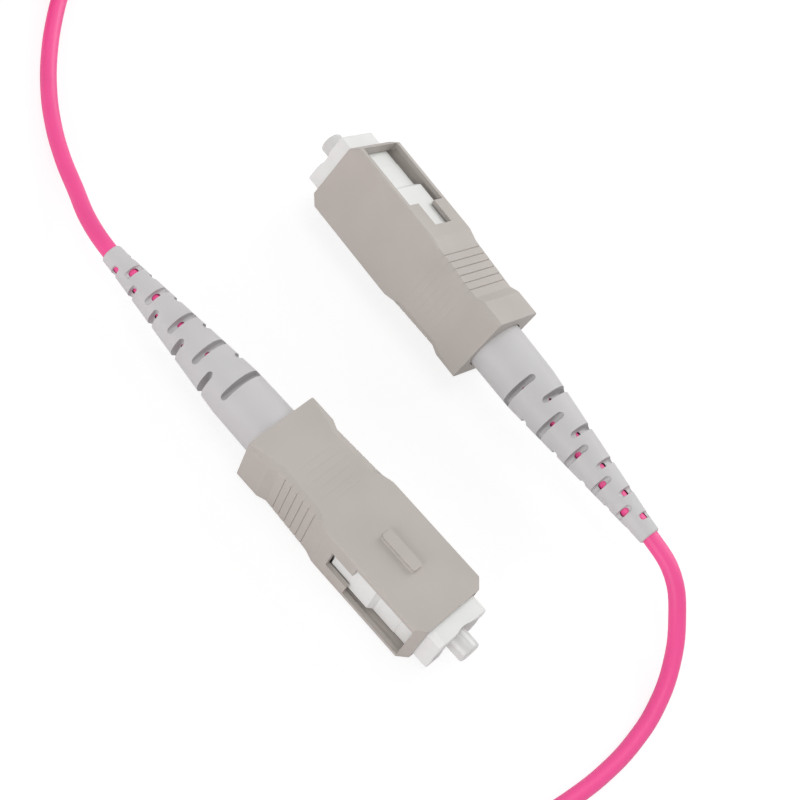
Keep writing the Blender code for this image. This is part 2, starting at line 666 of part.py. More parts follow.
def placement(place, heading, roll, height):
    """The frame of a connector on the floor: its nose along the heading, rolled about its own length."""
    forward = Vector((math.cos(heading), math.sin(heading), 0.0))
    upward = Vector((0.0, 0.0, 1.0))
    side = upward.cross(forward)
    key_face = upward * math.cos(roll) + side * math.sin(roll)
    across = key_face.cross(forward)
    turn = Matrix((forward, across, key_face)).transposed().to_4x4()
    return Matrix.Translation((*place, height)) @ turn


def rest_height(roll):
    """Height of the axis when the grip lies on the floor: half the rolled section with its long edges broken."""
    broken = (
        (GRIP_HALF_WIDTH, GRIP_HALF_HEIGHT - GRIP_EDGE),
        (GRIP_HALF_WIDTH - GRIP_EDGE, GRIP_HALF_HEIGHT),
    )
    return max(abs(wide * math.sin(roll)) + abs(high * math.cos(roll)) for wide, high in broken)


def make_connector(prefix, frame, surfaces):
    """All pieces of one connector, each with its origin on the connector's own axis."""
    clear = SEAT_CLEARANCE
    ferrule_outline = (
        (FERRULE_REAR, FERRULE_RADIUS - clear),
        (FERRULE_REAR + clear, FERRULE_RADIUS),
        (FERRULE_TIP - FERRULE_CHAMFER, FERRULE_RADIUS),
        (FERRULE_TIP, FERRULE_RADIUS - FERRULE_TIP_BEVEL),
    )
    crimp_outline = (
        (CRIMP_REAR, CRIMP_INNER_RADIUS - CRIMP_NECK),
        (CRIMP_REAR, CRIMP_RADIUS - CRIMP_NECK),
        (STOP_POST_END, CRIMP_RADIUS),
        (CRIMP_FRONT, CRIMP_RADIUS),
        (CRIMP_FRONT, CRIMP_INNER_RADIUS),
        (STOP_POST_END, CRIMP_INNER_RADIUS),
    )
    aramid_outline = (
        (ARAMID_REAR, ARAMID_INNER_RADIUS),
        (ARAMID_REAR, ARAMID_RADIUS),
        (ARAMID_FRONT, ARAMID_RADIUS),
        (ARAMID_FRONT, ARAMID_INNER_RADIUS),
    )
    fibre_outline = ((FIBRE_REAR, FIBRE_RADIUS), (FIBRE_FRONT, FIBRE_RADIUS))
    made = (
        make_grip(prefix + "grip", surfaces["grip"]),
        make_plug_frame(prefix + "plug_frame", surfaces["frame"]),
        rod(prefix + "ferrule", ferrule_outline, ROUND_SIDES, surfaces["ceramic"]),
        make_flange(prefix + "ferrule_flange", surfaces["steel"]),
        make_spring(prefix + "spring", surfaces["steel"]),
        make_stop_body(prefix + "stop_body", surfaces["brass"]),
        turned(prefix + "crimp_sleeve", crimp_outline, ROUND_SIDES, surfaces["brass"]),
        turned(prefix + "aramid_ring", aramid_outline, ROUND_SIDES, surfaces["aramid"]),
        rod(prefix + "buffered_fibre", fibre_outline, SMALL_SIDES, surfaces["buffer"]),
        make_boot(prefix + "boot", surfaces["boot"]),
    )
    for piece in made:
        piece.matrix_world = frame


def smooth_line(points, count=24):
    """A centripetal curve through the points, read finely."""
    knots = [Vector(point) for point in points]
    padded = [knots[0] * 2.0 - knots[1], *knots, knots[-1] * 2.0 - knots[-2]]
    read = []
    for place in range(1, len(padded) - 2):
        group = padded[place - 1:place + 3]
        times = [0.0]
        for here, there in zip(group, group[1:]):
            times.append(times[-1] + math.sqrt((there - here).length))
        for step in range(count):
            moment = times[1] + (times[2] - times[1]) * step / count
            level = list(group)
            for depth in (1, 2, 3):
                blended = []
                for low in range(len(level) - 1):
                    if depth == 1:
                        start, end = times[low], times[low + 1]
                    elif depth == 2:
                        start, end = times[low], times[low + 2]
                    else:
                        start, end = times[1], times[2]
                    share = (moment - start) / (end - start)
                    blended.append(level[low].lerp(level[low + 1], share))
                level = blended
            read.append(level[0])
    read.append(knots[-1])
    return read


def evenly(points, step):
    """The same line read at even steps."""
    line = np.array([tuple(point) for point in points])
    lengths = np.linalg.norm(np.diff(line, axis=0), axis=1)
    walked = np.concatenate([[0.0], np.cumsum(lengths)])
    count = max(2, int(round(walked[-1] / step)))
    marks = np.linspace(0.0, walked[-1], count + 1)
    return [Vector(np.interp(mark, walked, line[:, axis]) for axis in range(3)) for mark in marks]


def make_tube(name, points, surface):
    """One stretch of cable as a tube along its points."""
    line = bpy.data.curves.new(name, "CURVE")
    line.dimensions = "3D"
    line.bevel_depth = CABLE_RADIUS
    line.bevel_resolution = CABLE_RESOLUTION
    line.use_fill_caps = True
    spline = line.splines.new("POLY")
    spline.points.add(len(points) - 1)
    for place, point in enumerate(points):
        spline.points[place].co = (*point, 1.0)
    line.materials.append(surface)
    made = bpy.data.objects.new(name, line)
    bpy.context.scene.collection.objects.link(made)


def coil_radii():
    """Inner and outer radius of the coil: its turns lie a diameter apart."""
    half = COIL_TURNS_ACROSS * CABLE_RADIUS
    return COIL_MIDDLE_RADIUS - half - CABLE_RADIUS, COIL_MIDDLE_RADIUS + half + CABLE_RADIUS


def make_cable(near, far, surfaces):
    """The cable: a stretch from each boot and the coil between them, held by a tie."""
    inner, outer = coil_radii()
    diameter = CABLE_RADIUS * 2.0
    coil_low = TIE_THICKNESS + TIE_GAP
    coil_high = coil_low + COIL_LAYERS * diameter
    profile = rounded_box((outer - inner) / 2.0, (coil_high - coil_low) / 2.0, COIL_EDGE, COIL_ARC_STEPS)
    middle_radius = (inner + outer) / 2.0
    middle_height = (coil_low + coil_high) / 2.0
    centre = Vector((*COIL_CENTRE, 0.0))
    rings = []
    for radial, up in profile:
        ring = []
        for place in range(COIL_SIDES):
            turn = math.tau * place / COIL_SIDES
            reach = middle_radius + radial
            ring.append(centre + Vector((reach * math.cos(turn), reach * math.sin(turn), middle_height + up)))
        rings.append(ring)
    solid("cable_coil", rings, True, surfaces["cable"])

    half_along = (outer - inner) / 2.0 + TIE_GAP
    half_up = (coil_high - coil_low) / 2.0 + TIE_GAP
    steps = [place / TIE_STEPS - 0.5 for place in range(TIE_STEPS + 1)]
    lap = [(0.0, share) for share in steps] + [(TIE_THICKNESS, share) for share in reversed(steps)]
    rings = []
    for spread, share in lap:
        turn = TIE_HEADING + share * TIE_WIDTH / middle_radius
        outline = rounded_box(half_along + spread, half_up + spread, TIE_CORNER + spread, COIL_ARC_STEPS)
        ring = []
        for radial, up in outline:
            reach = middle_radius + radial
            ring.append(centre + Vector((reach * math.cos(turn), reach * math.sin(turn), middle_height + up)))
        rings.append(ring)
    solid("coil_tie", rings, True, surfaces["tie"])

    lowest = coil_low + CABLE_RADIUS
    highest = coil_high - CABLE_RADIUS
    tangent = outer - CABLE_RADIUS
    stop = math.sqrt((outer + TIE_GAP + CABLE_RADIUS) ** 2 - tangent ** 2)
    exits = (CABLE_REAR, BOOT_TAIL, BOOT_TAIL - CABLE_STRAIGHT)
    near_start = [near @ Vector((along, 0.0, 0.0)) for along in exits]
    far_start = [far @ Vector((along, 0.0, 0.0)) for along in exits]
    near_end = centre + Vector((tangent, -stop, lowest))
    far_end = centre + Vector((-tangent, -stop, highest))
    for name, start, route, end in (
        ("near_cable", near_start, NEAR_ROUTE, near_end),
        ("far_cable", far_start, FAR_ROUTE, far_end),
    ):
        inside = evenly(start[:2], CABLE_STEP)
        outside = evenly(smooth_line([start[1], start[2], *route, end]), CABLE_STEP)
        for point in outside:
            point.z = max(point.z, CABLE_RADIUS)
        make_tube(name, [*inside, *outside[1:]], surfaces["cable"])


def main():
    """Build the whole cord."""
    clear_scene()
    surfaces = {
        "grip": material("beige_plastic", (0.46, 0.43, 0.38), 0.45),
        "frame": material("white_plastic", (0.86, 0.87, 0.86), 0.4),
        "ceramic": material("white_ceramic", (0.9, 0.9, 0.88), 0.25),
        "steel": material("bright_steel", (0.6, 0.6, 0.6), 0.3, 1.0),
        "brass": material("plated_brass", (0.62, 0.55, 0.4), 0.35, 1.0),
        "aramid": material("yellow_yarn", (0.8, 0.62, 0.15), 0.8),
        "buffer": material("clear_buffer", (0.85, 0.85, 0.82), 0.4),
        "boot": material("white_rubber", (0.64, 0.64, 0.64), 0.6),
        "cable": material("pink_jacket", (0.9, 0.12, 0.34), 0.5),
        "tie": material("black_strap", (0.03, 0.03, 0.03), 0.8),
    }
    near = placement(NEAR_PLACE, NEAR_HEADING, NEAR_ROLL, rest_height(NEAR_ROLL))
    far = placement(FAR_PLACE, FAR_HEADING, FAR_ROLL, rest_height(FAR_ROLL))
    make_connector("near_", near, surfaces)
    make_connector("far_", far, surfaces)
    make_cable(near, far, surfaces)
    bpy.context.view_layer.update()


main()
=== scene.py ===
"""Dresses the packed fibre optic patch cord: cable and coil, boots, grips, plug frames, ferrules.

Each connector is shaped in its own frame, with +X from the rear of its grip towards the ferrule,
Y across the wide face and +Z out of the face that carries the key. It is then laid where the solid
model has it. All lengths are in metres. The floor, the lamps and the camera come first, because the
cord is measured by what the camera sees of it.
"""

import math

import bpy
from mathutils import Matrix, Vector


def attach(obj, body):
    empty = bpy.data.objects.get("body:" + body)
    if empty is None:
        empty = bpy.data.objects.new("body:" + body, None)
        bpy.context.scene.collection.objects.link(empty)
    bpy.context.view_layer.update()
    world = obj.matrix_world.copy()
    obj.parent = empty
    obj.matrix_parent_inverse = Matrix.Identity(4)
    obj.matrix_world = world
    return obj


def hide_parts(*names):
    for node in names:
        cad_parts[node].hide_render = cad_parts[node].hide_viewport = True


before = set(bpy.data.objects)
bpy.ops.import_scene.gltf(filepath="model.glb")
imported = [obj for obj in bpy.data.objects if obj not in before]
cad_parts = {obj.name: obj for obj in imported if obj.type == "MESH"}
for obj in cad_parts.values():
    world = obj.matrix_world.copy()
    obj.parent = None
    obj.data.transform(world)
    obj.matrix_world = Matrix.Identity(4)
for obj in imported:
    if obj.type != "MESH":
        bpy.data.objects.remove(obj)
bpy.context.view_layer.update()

bl_info = {
    "name": "Fibre patch cord looks",
    "version": (1, 0, 0),
    "blender": (4, 5, 0),
    "location": "3D View > Sidebar > Patch cord",
    "description": "Makes the visible pieces of a fibre optic patch cord round its solid model",
    "category": "Object",
}

# Places of the two connectors, as the solid model lays them: the near one flat on its keyless face, the far
# one on a long edge
NEAR_PLACE = (-0.01052, -0.00692)
NEAR_HEADING = math.radians(-47.0)
NEAR_ROLL = math.radians(0.0)
NEAR_HEIGHT = 0.0037
FAR_PLACE = (0.01212, 0.00532)
FAR_HEADING = math.radians(128.1)
FAR_ROLL = math.radians(243.2)
FAR_HEIGHT = 0.0056173

# The cable's route, the same points as in the solid model
CABLE_REAR = -0.0049
BOOT_TAIL = -0.0255
CABLE_STRAIGHT = 0.0020
CABLE_STEP = 0.0045
CABLE_LIE = 0.00095
COIL_CENTRE = (-0.0474, 0.0594)
COIL_MIDDLE_RADIUS = 0.0106
COIL_LOW = 0.0007
COIL_LAYERS = 4
COIL_TURNS_ACROSS = 2.375
COIL_POINTS_PER_TURN = 16
LAYER_CHANGE = 0.35
COIL_CLEARANCE = 0.0003
CURVE_READINGS = 24
JACKET_BEVEL_STEPS = 6
JACKET_STEPS = 5
NEAR_ROUTE = (
    (-0.0315, 0.0186, 0.0025),
    (-0.0338, 0.0247, 0.0014),
    (-0.0355, 0.0315, CABLE_LIE),
    (-0.0360, 0.0400, CABLE_LIE),
)
FAR_ROUTE = (
    (0.0306, -0.0195, 0.0047),
    (0.0310, -0.0237, 0.0031),
    (0.0303, -0.0282, 0.0017),
    (0.0282, -0.0325, CABLE_LIE),
    (0.0246, -0.0368, CABLE_LIE),
    (0.0196, -0.0409, CABLE_LIE),
    (0.0050, -0.0490, CABLE_LIE),
    (-0.0120, -0.0540, CABLE_LIE),
    (-0.0280, -0.0535, CABLE_LIE),
    (-0.0405, -0.0465, CABLE_LIE),
    (-0.0470, -0.0330, CABLE_LIE),
    (-0.0510, -0.0120, CABLE_LIE),
    (-0.0548, 0.0120, CABLE_LIE),
    (-0.0582, 0.0320, 0.0020),
    (-0.0598, 0.0440, 0.0050),
)

# Boot: its outline as rings (place along, radius), from its head to its tail and back along its bore
BOOT_OUTLINE = (
    (0.0025, 0.00235),
    (0.0025, 0.0031),
    (0.0, 0.0031),
    (-0.0060, 0.0030),
    (-0.0242, 0.00124),
    (-0.02538, 0.00117),
    (-0.0255, 0.00105),
    (-0.0255, 0.00098),
    (-0.0246, 0.00103),
    (-0.0053, 0.00108),
    (-0.0049, 0.00235),
)

# Slots of the boot: their places as shares of the way from the first place to the tail, on the boot's two
# faces and, between those, on its two sides
SLOT_FIRST = -0.0049
SLOT_FACE_SHARES = (0.038, 0.271, 0.471, 0.661, 0.833)
SLOT_SIDE_SHARES = (0.167, 0.389, 0.588, 0.760, 0.905)
SLOT_HALF_WIDTH = 0.00037
SLOT_NOSE = 0.0003
SLOT_HALF_ANGLE = math.radians(56.0)
SLOT_REACH = 0.0040
SLOT_FLOOR_HEAD = 0.00108
SLOT_FLOOR_TAIL = 0.00081
SLOT_SIDES = 24
SLOT_NOSE_STEPS = 5
SLOT_END_ANGLE = math.radians(60.0)
BOOT_SMOOTH_ANGLE = math.radians(28.0)

# Moulded solids: what counts as flat, as a crease and as one smooth surface
TUBE_WELD = 1e-6
COPY_WELD = 2e-6
SLACK = 0.00001
FLAT_ANGLE = math.radians(1.0)
CREASE_ANGLE = math.radians(12.5)
MOULDED_SMOOTH_ANGLE = math.radians(40.0)
GRIP_ROUNDING_STEPS = 3
FRAME_ROUNDING_STEPS = 2

# Grip: its finger grooves, and the strip that breaks each long edge beside the wide faces
GRIP_HALF_HEIGHT = 0.0037
GRIP_EDGE = 0.00015
GRIP_FLANK = 0.003
GROOVE_FIRST = 0.0050
GROOVE_PITCH = 0.0009
GROOVE_COUNT = 6
GROOVE_CUT_HALF_WIDTH = 0.0001
GROOVE_LINE_HALF_WIDTH = 0.00006
GROOVE_MARGIN = 0.0002
STRIP_FROM = 0.0040
STRIP_TO = 0.0104
STRIP_RUN_OUT = 0.0121
STRIP_WIDTH = 0.0007
STRIP_KEPT = 0.00068

# Key: its height over the wide face, and how far over it a point or an edge counts as the key's
KEY_HEIGHT = 0.0005
KEY_TOP_ABOVE = 0.0003
KEY_EDGES_ABOVE = 0.00005

# Faint finger lines on the wide faces, pressed by long thin spheroids
RIB_RADIUS = 0.00012
RIB_DEPTH = 0.00003
RIB_HALF_LENGTH = 0.0045
RIB_SIDES = 16
RIB_RINGS = 24

# Ferrule: its outline as rings, from its rear to its rounded tip, with the fibre bore down the middle
FERRULE_OUTLINE = (
    (0.0184, 0.0000625),
    (0.0184, 0.0012),
    (0.01845, 0.00125),
    (0.02862, 0.00125),
    (0.02872, 0.00122),
    (0.02880, 0.00114),
    (0.02886, 0.00102),
    (0.02889, 0.0009),
    (0.0289, 0.0007),
    (0.0289, 0.0000625),
)
FERRULE_SIDES = 96
FERRULE_SMOOTH_ANGLE = math.radians(30.0)

# Strap round the coil
STRAP_HEADING = math.radians(115.0)
STRAP_WIDTH = 0.0060
STRAP_THICKNESS = 0.0004
STRAP_HALF_ACROSS = 0.0033375
STRAP_HALF_UP = 0.0039
STRAP_MIDDLE_UP = 0.0043
STRAP_CORNER = 0.0010
STRAP_START = 0.0018
STRAP_END = -0.0022
STRAP_COLUMNS = 8
STRAP_START_STEPS = 4
STRAP_CORNER_STEPS = 6
STRAP_LAP_STEPS = 8
STRAP_LAP_LIFT = 1.15
STRAP_LAP_RISE = 3.0
STRAP_ROUNDING = 0.3
STRAP_ROUNDING_STEPS = 2
STRAP_EDGE_ANGLE = math.radians(50.0)
STRAP_THREAD = 0.00035

# Grain of the materials
FLOW_SIZE = 0.00625
TOOL_MARK_SIZE = 0.00025
MOULDED_GLOSS_SPREAD = 0.05
METAL_GLOSS_SPREAD = 0.08

# Studio: the floor's share of glow for the camera alone, the dome's light, and the lamps as name, place,
# size and power, all aimed at the middle of the floor
FLOOR_SIZE = 4.0
FLOOR_GLOW_SHARE = 0.72
FLOOR_GLOW = 1.13
PAPER = (0.9, 0.9, 0.9, 1.0)
WHITE = (1.0, 1.0, 1.0, 1.0)
DOME_LIGHT = 0.42
LAMPS = (
    ("front_softbox", (-0.50, -0.50, 0.27), 0.6, 2.3),
    ("right_softbox", (0.55, 0.42, 0.40), 0.6, 2.65),
    ("top_softbox", (0.05, 0.10, 0.75), 0.5, 1.05),
)

# Camera, fitted to the photo
CAMERA_EYE = (-0.03898, -0.08556, 0.16195)
CAMERA_TARGET = (0.003315, 0.000582, 0.0)
CAMERA_ROLL = math.radians(-29.29)
CAMERA_LENS = 81.0
CAMERA_SENSOR = 36.0
CAMERA_CLIP = (0.01, 10.0)


class PatchCordSizes(bpy.types.PropertyGroup):
    """Sizes that a user of the model may change."""

    cable_diameter: bpy.props.FloatProperty(
        name="Cable diameter",
        description="Outer diameter of the jacket",
        default=0.0018,
        unit="LENGTH",
    )
    edge_rounding: bpy.props.FloatProperty(
        name="Edge rounding",
        description="Radius on the moulded edges of grip and plug frame",
        default=0.00006,
        unit="LENGTH",
    )
    boot_sides: bpy.props.IntProperty(
        name="Boot sides",
        description="Facets round each boot",
        default=96,
        min=24,
    )


def colour_property(name, piece, default):
    """A colour as a text property."""
    return bpy.props.StringProperty(name=name, description="Colour of the " + piece, default=default)


class PatchCordColours(bpy.types.PropertyGroup):
    """Colours as sRGB hex values."""

    jacket: colour_property("Jacket", "cable", "FA5099")
    grip: colour_property("Grip", "sliding grip", "BCB5AF")
    plug_frame: colour_property("Plug frame", "plug frame", "ECEDEB")
    boot: colour_property("Boot", "strain relief", "CDCBCC")
    ferrule: colour_property("Ferrule", "ferrule", "DADAD8")
    strap: colour_property("Strap", "coil's strap", "1E1E20")
    brass: colour_property("Brass", "stop body and crimp sleeve", "B9AE97")
    steel: colour_property("Steel", "ferrule's flange and spring", "B8B8B8")
    yarn: colour_property("Yarn", "aramid yarn", "D9B354")
    buffer: colour_property("Buffer", "buffered fibre", "E8E6E0")


def colour_of(hex_value):
    """An sRGB hex value as a linear colour."""
    channels = []
    for place in (0, 2, 4):
        level = int(hex_value[place:place + 2], 16) / 255.0
        channels.append(level / 12.92 if level <= 0.04045 else ((level + 0.055) / 1.055) ** 2.4)
    return (*channels, 1.0)


def add_node(tree, kind, settings=None, values=None, links=None):
    """Add a node: its settings, the values on its sockets and the sockets that feed it."""
    made = tree.nodes.new(kind)
    for name, setting in (settings or {}).items():
        setattr(made, name, setting)
    for name, value in (values or {}).items():
        made.inputs[name].default_value = value
    for name, source in (links or {}).items():
        tree.links.new(source, made.inputs[name])
    return made


def start_material(name):
    """An empty node material, and its tree."""
    made = bpy.data.materials.new(name)
    made.use_nodes = True
    made.node_tree.nodes.clear()
    return made, made.node_tree


def moulded(name, colour, roughness, grain, relief, tint=0.03, coat=0.0):
    """A moulded plastic: its tool's grain in relief and gloss, and a faint uneven tint from its flow."""
    made, tree = start_material(name)
    place = add_node(tree, "ShaderNodeTexCoord").outputs["Object"]
    grit = add_node(
        tree,
        "ShaderNodeTexNoise",
        values={"Scale": 1.0 / grain, "Detail": 3.0, "Roughness": 0.6},
        links={"Vector": place},
    )
    flow = add_node(
        tree,
        "ShaderNodeTexNoise",
        values={"Scale": 1.0 / FLOW_SIZE, "Detail": 2.0},
        links={"Vector": place},
    )
    brightness = add_node(
        tree,
        "ShaderNodeMapRange",
        values={"From Min": 0.35, "From Max": 0.65, "To Min": 1.0 - tint, "To Max": 1.0 + tint},
        links={"Value": flow.outputs["Fac"]},
    )
    shade = add_node(
        tree,
        "ShaderNodeHueSaturation",
        values={"Color": colour},
        links={"Value": brightness.outputs["Result"]},
    )
    gloss = add_node(
        tree,
        "ShaderNodeMapRange",
        values={
            "From Min": 0.3,
            "From Max": 0.7,
            "To Min": roughness - MOULDED_GLOSS_SPREAD,
            "To Max": roughness + MOULDED_GLOSS_SPREAD,
        },
        links={"Value": grit.outputs["Fac"]},
    )
    bump = add_node(
        tree,
        "ShaderNodeBump",
        values={"Strength": 0.5, "Distance": relief},
        links={"Height": grit.outputs["Fac"]},
    )
    surface = add_node(
        tree,
        "ShaderNodeBsdfPrincipled",
        values={"Coat Weight": coat, "Coat Roughness": 0.2},
        links={
            "Base Color": shade.outputs["Color"],
            "Roughness": gloss.outputs["Result"],
            "Normal": bump.outputs["Normal"],
        },
    )
    add_node(tree, "ShaderNodeOutputMaterial", links={"Surface": surface.outputs["BSDF"]})
    return made


def metal(name, colour, roughness):
    """A turned metal: fine tool marks in its gloss."""
    made, tree = start_material(name)
    place = add_node(tree, "ShaderNodeTexCoord").outputs["Object"]
    marks = add_node(
        tree,
        "ShaderNodeTexNoise",
        values={"Scale": 1.0 / TOOL_MARK_SIZE, "Detail": 2.0},
        links={"Vector": place},
    )
    gloss = add_node(
        tree,
        "ShaderNodeMapRange",
        values={"To Min": roughness - METAL_GLOSS_SPREAD, "To Max": roughness + METAL_GLOSS_SPREAD},
        links={"Value": marks.outputs["Fac"]},
    )
    surface = add_node(
        tree,
        "ShaderNodeBsdfPrincipled",
        values={"Base Color": colour, "Metallic": 1.0},
        links={"Roughness": gloss.outputs["Result"]},
    )
    add_node(tree, "ShaderNodeOutputMaterial", links={"Surface": surface.outputs["BSDF"]})
    return made


def cloth(name, colour, thread):
    """A woven strap or loose yarn: threads crossing at a real spacing."""
    made, tree = start_material(name)
    place = add_node(tree, "ShaderNodeTexCoord").outputs["Object"]
    weave = add_node(
        tree,
        "ShaderNodeTexVoronoi",
        settings={"distance": "CHEBYCHEV"},
        values={"Scale": 1.0 / thread, "Randomness": 0.25},
        links={"Vector": place},
    )
    bump = add_node(
        tree,
        "ShaderNodeBump",
        values={"Strength": 0.7, "Distance": thread * 0.4},
        links={"Height": weave.outputs["Distance"]},
    )
    surface = add_node(
        tree,
        "ShaderNodeBsdfPrincipled",
        values={"Base Color": colour, "Roughness": 0.85, "Sheen Weight": 0.3},
        links={"Normal": bump.outputs["Normal"]},
    )
    add_node(tree, "ShaderNodeOutputMaterial", links={"Surface": surface.outputs["BSDF"]})
    return made


def select_only(piece):
    """Leave only this piece selected and active."""
    bpy.ops.object.select_all(action="DESELECT")
    piece.select_set(True)
    bpy.context.view_layer.objects.active = piece


def apply_modifier(piece, kind, **settings):
    """Add a modifier and apply it."""
    step = piece.modifiers.new(kind.lower(), kind)
    for name, value in settings.items():
        setattr(step, name, value)
    select_only(piece)
    bpy.ops.object.modifier_apply(modifier=step.name)


def cut_away(piece, cutters):
    """Take the cutters' shapes out of the piece, and then the cutters out of the scene."""
    bpy.ops.object.select_all(action="DESELECT")
    for cutter in cutters:
        cutter.select_set(True)
    bpy.context.view_layer.objects.active = cutters[0]
    bpy.ops.object.join()
    apply_modifier(piece, "BOOLEAN", operation="DIFFERENCE", solver="EXACT", object=cutters[0])
    bpy.data.objects.remove(cutters[0], do_unlink=True)


def placement(place, heading, roll, height):
    """The frame of a connector on the floor."""
    forward = Vector((math.cos(heading), math.sin(heading), 0.0))
    upward = Vector((0.0, 0.0, 1.0))
    side = upward.cross(forward)
    key_face = upward * math.cos(roll) + side * math.sin(roll)
    across = key_face.cross(forward)
    turn = Matrix((forward, across, key_face)).transposed().to_4x4()
    return Matrix.Translation((*place, height)) @ turn


NEAR = placement(NEAR_PLACE, NEAR_HEADING, NEAR_ROLL, NEAR_HEIGHT)
FAR = placement(FAR_PLACE, FAR_HEADING, FAR_ROLL, FAR_HEIGHT)


def drawn_tube(name, outline, sides):
    """A tube drawn ring by ring: a circle, each next ring extruded and scaled, and the last welded on."""
    bpy.ops.object.select_all(action="DESELECT")
    along, radius = outline[0]
    bpy.ops.mesh.primitive_circle_add(
        vertices=sides, radius=radius, location=(along, 0.0, 0.0), rotation=(0.0, math.pi / 2.0, 0.0)
    )
    made = bpy.context.object
    made.name = name
    bpy.ops.object.transform_apply(location=True, rotation=True, scale=True)
    bpy.ops.object.mode_set(mode="EDIT")
    bpy.ops.mesh.select_all(action="SELECT")
    for here, there in zip(outline, (*outline[1:], outline[0])):
        bpy.ops.mesh.extrude_edges_move(TRANSFORM_OT_translate={"value": (there[0] - here[0], 0.0, 0.0)})
        grow = there[1] / here[1]
        bpy.ops.transform.resize(value=(1.0, grow, grow), center_override=(there[0], 0.0, 0.0))
    bpy.ops.mesh.select_all(action="SELECT")
    bpy.ops.mesh.remove_doubles(threshold=TUBE_WELD)
    bpy.ops.mesh.normals_make_consistent(inside=False)
    bpy.ops.object.mode_set(mode="OBJECT")
    return made


def boot_radius(along):
    """Outer radius of the boot at a place along its taper."""
    (head, head_radius), (tail, tail_radius) = BOOT_OUTLINE[3:5]
    share = min(1.0, max(0.0, (along - head) / (tail - head)))
    return head_radius + (tail_radius - head_radius) * share


def slot_cutter(share, across_sides, side):
    """A cylinder stretched into a round-ended slot with a round-edged floor, deeper towards the tail."""
    along = SLOT_FIRST + (BOOT_TAIL - SLOT_FIRST) * share
    floor = SLOT_FLOOR_HEAD + (SLOT_FLOOR_TAIL - SLOT_FLOOR_HEAD) * share
    middle = (SLOT_REACH + floor) * side / 2.0
    bpy.ops.object.select_all(action="DESELECT")
    bpy.ops.mesh.primitive_cylinder_add(
        vertices=SLOT_SIDES,
        radius=SLOT_HALF_WIDTH,
        depth=SLOT_REACH - floor,
        location=(along, 0.0, middle),
    )
    made = bpy.context.object
    bpy.ops.object.transform_apply(location=True, rotation=True, scale=True)
    stretch = boot_radius(along) * math.sin(SLOT_HALF_ANGLE) - SLOT_HALF_WIDTH
    for point in made.data.vertices:
        if abs(point.co.y) > TUBE_WELD:
            point.co.y += math.copysign(stretch, point.co.y)
    apply_modifier(
        made,
        "BEVEL",
        width=SLOT_NOSE,
        segments=SLOT_NOSE_STEPS,
        limit_method="ANGLE",
        angle_limit=SLOT_END_ANGLE,
    )
    if across_sides:
        made.data.transform(Matrix.Rotation(math.pi / 2.0, 4, "X"))
    return made


def make_boot(name):
    """One boot about its own axis."""
    sizes = bpy.context.scene.patch_cord_sizes
    boot = drawn_tube(name, BOOT_OUTLINE, sizes.boot_sides)
    for shares, across_sides in ((SLOT_FACE_SHARES, False), (SLOT_SIDE_SHARES, True)):
        cut_away(boot, [slot_cutter(share, across_sides, side) for share in shares for side in (1.0, -1.0)])
    select_only(boot)
    bpy.ops.object.shade_smooth_by_angle(angle=BOOT_SMOOTH_ANGLE)
    return boot


def placed_pair(piece, near_name, far_name, material_made):
    """The piece as modelled goes to the near connector, and a copy with its own mesh to the far one."""
    piece.data.materials.clear()
    piece.data.materials.append(material_made)
    twin = bpy.data.objects.new(far_name, piece.data.copy())
    bpy.context.scene.collection.objects.link(twin)
    piece.name = near_name
    piece.data.transform(NEAR)
    twin.data.transform(FAR)
    piece.data.update()
    twin.data.update()
    return piece, twin


def rounded_copy(node, name, place, rounding, steps, reshape=None, keep_crisp=None):
    """A copy of a moulded solid: facets joined into faces, shape refined, edges rounded as in the mould."""
    made = bpy.data.objects.new(name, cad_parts[node].data.copy())
    bpy.context.scene.collection.objects.link(made)
    made.data.transform(place.inverted())
    select_only(made)
    bpy.ops.object.mode_set(mode="EDIT")
    bpy.ops.mesh.select_mode(type="EDGE")
    bpy.ops.mesh.select_all(action="SELECT")
    bpy.ops.mesh.remove_doubles(threshold=COPY_WELD)
    bpy.ops.mesh.dissolve_limited(angle_limit=FLAT_ANGLE)
    bpy.ops.mesh.select_all(action="SELECT")
    bpy.ops.mesh.normals_make_consistent(inside=False)
    bpy.ops.object.mode_set(mode="OBJECT")
    if made.data.has_custom_normals:
        bpy.ops.mesh.customdata_custom_splitnormals_clear()
    if reshape:
        reshape(made)
    bpy.ops.object.mode_set(mode="EDIT")
    bpy.ops.mesh.select_all(action="DESELECT")
    bpy.ops.mesh.edges_select_sharp(sharpness=CREASE_ANGLE)
    bpy.ops.object.mode_set(mode="OBJECT")
    for edge in made.data.edges:
        start, end = (made.data.vertices[index].co for index in edge.vertices)
        if edge.select and keep_crisp and keep_crisp((start + end) / 2.0):
            edge.select = False
            edge.use_edge_sharp = True
    bpy.ops.object.mode_set(mode="EDIT")
    bpy.ops.mesh.bevel(offset=rounding, segments=steps, affect="EDGES", clamp_overlap=True)
    bpy.ops.object.mode_set(mode="OBJECT")
    return made


def finish_copy(made, place, material_made):
    """Smooth the rounded copy, keep its flat faces flat and lay it in its place."""
    select_only(made)
    bpy.ops.object.shade_smooth_by_angle(angle=MOULDED_SMOOTH_ANGLE, keep_sharp_edges=True)
    apply_modifier(made, "WEIGHTED_NORMAL", keep_sharp=True)
    made.data.materials.clear()
    made.data.materials.append(material_made)
    made.data.transform(place)
    made.data.update()


def groove_middles():
    """Where the finger grooves of the grip lie along it."""
    return [GROOVE_FIRST + GROOVE_PITCH * place for place in range(GROOVE_COUNT)]


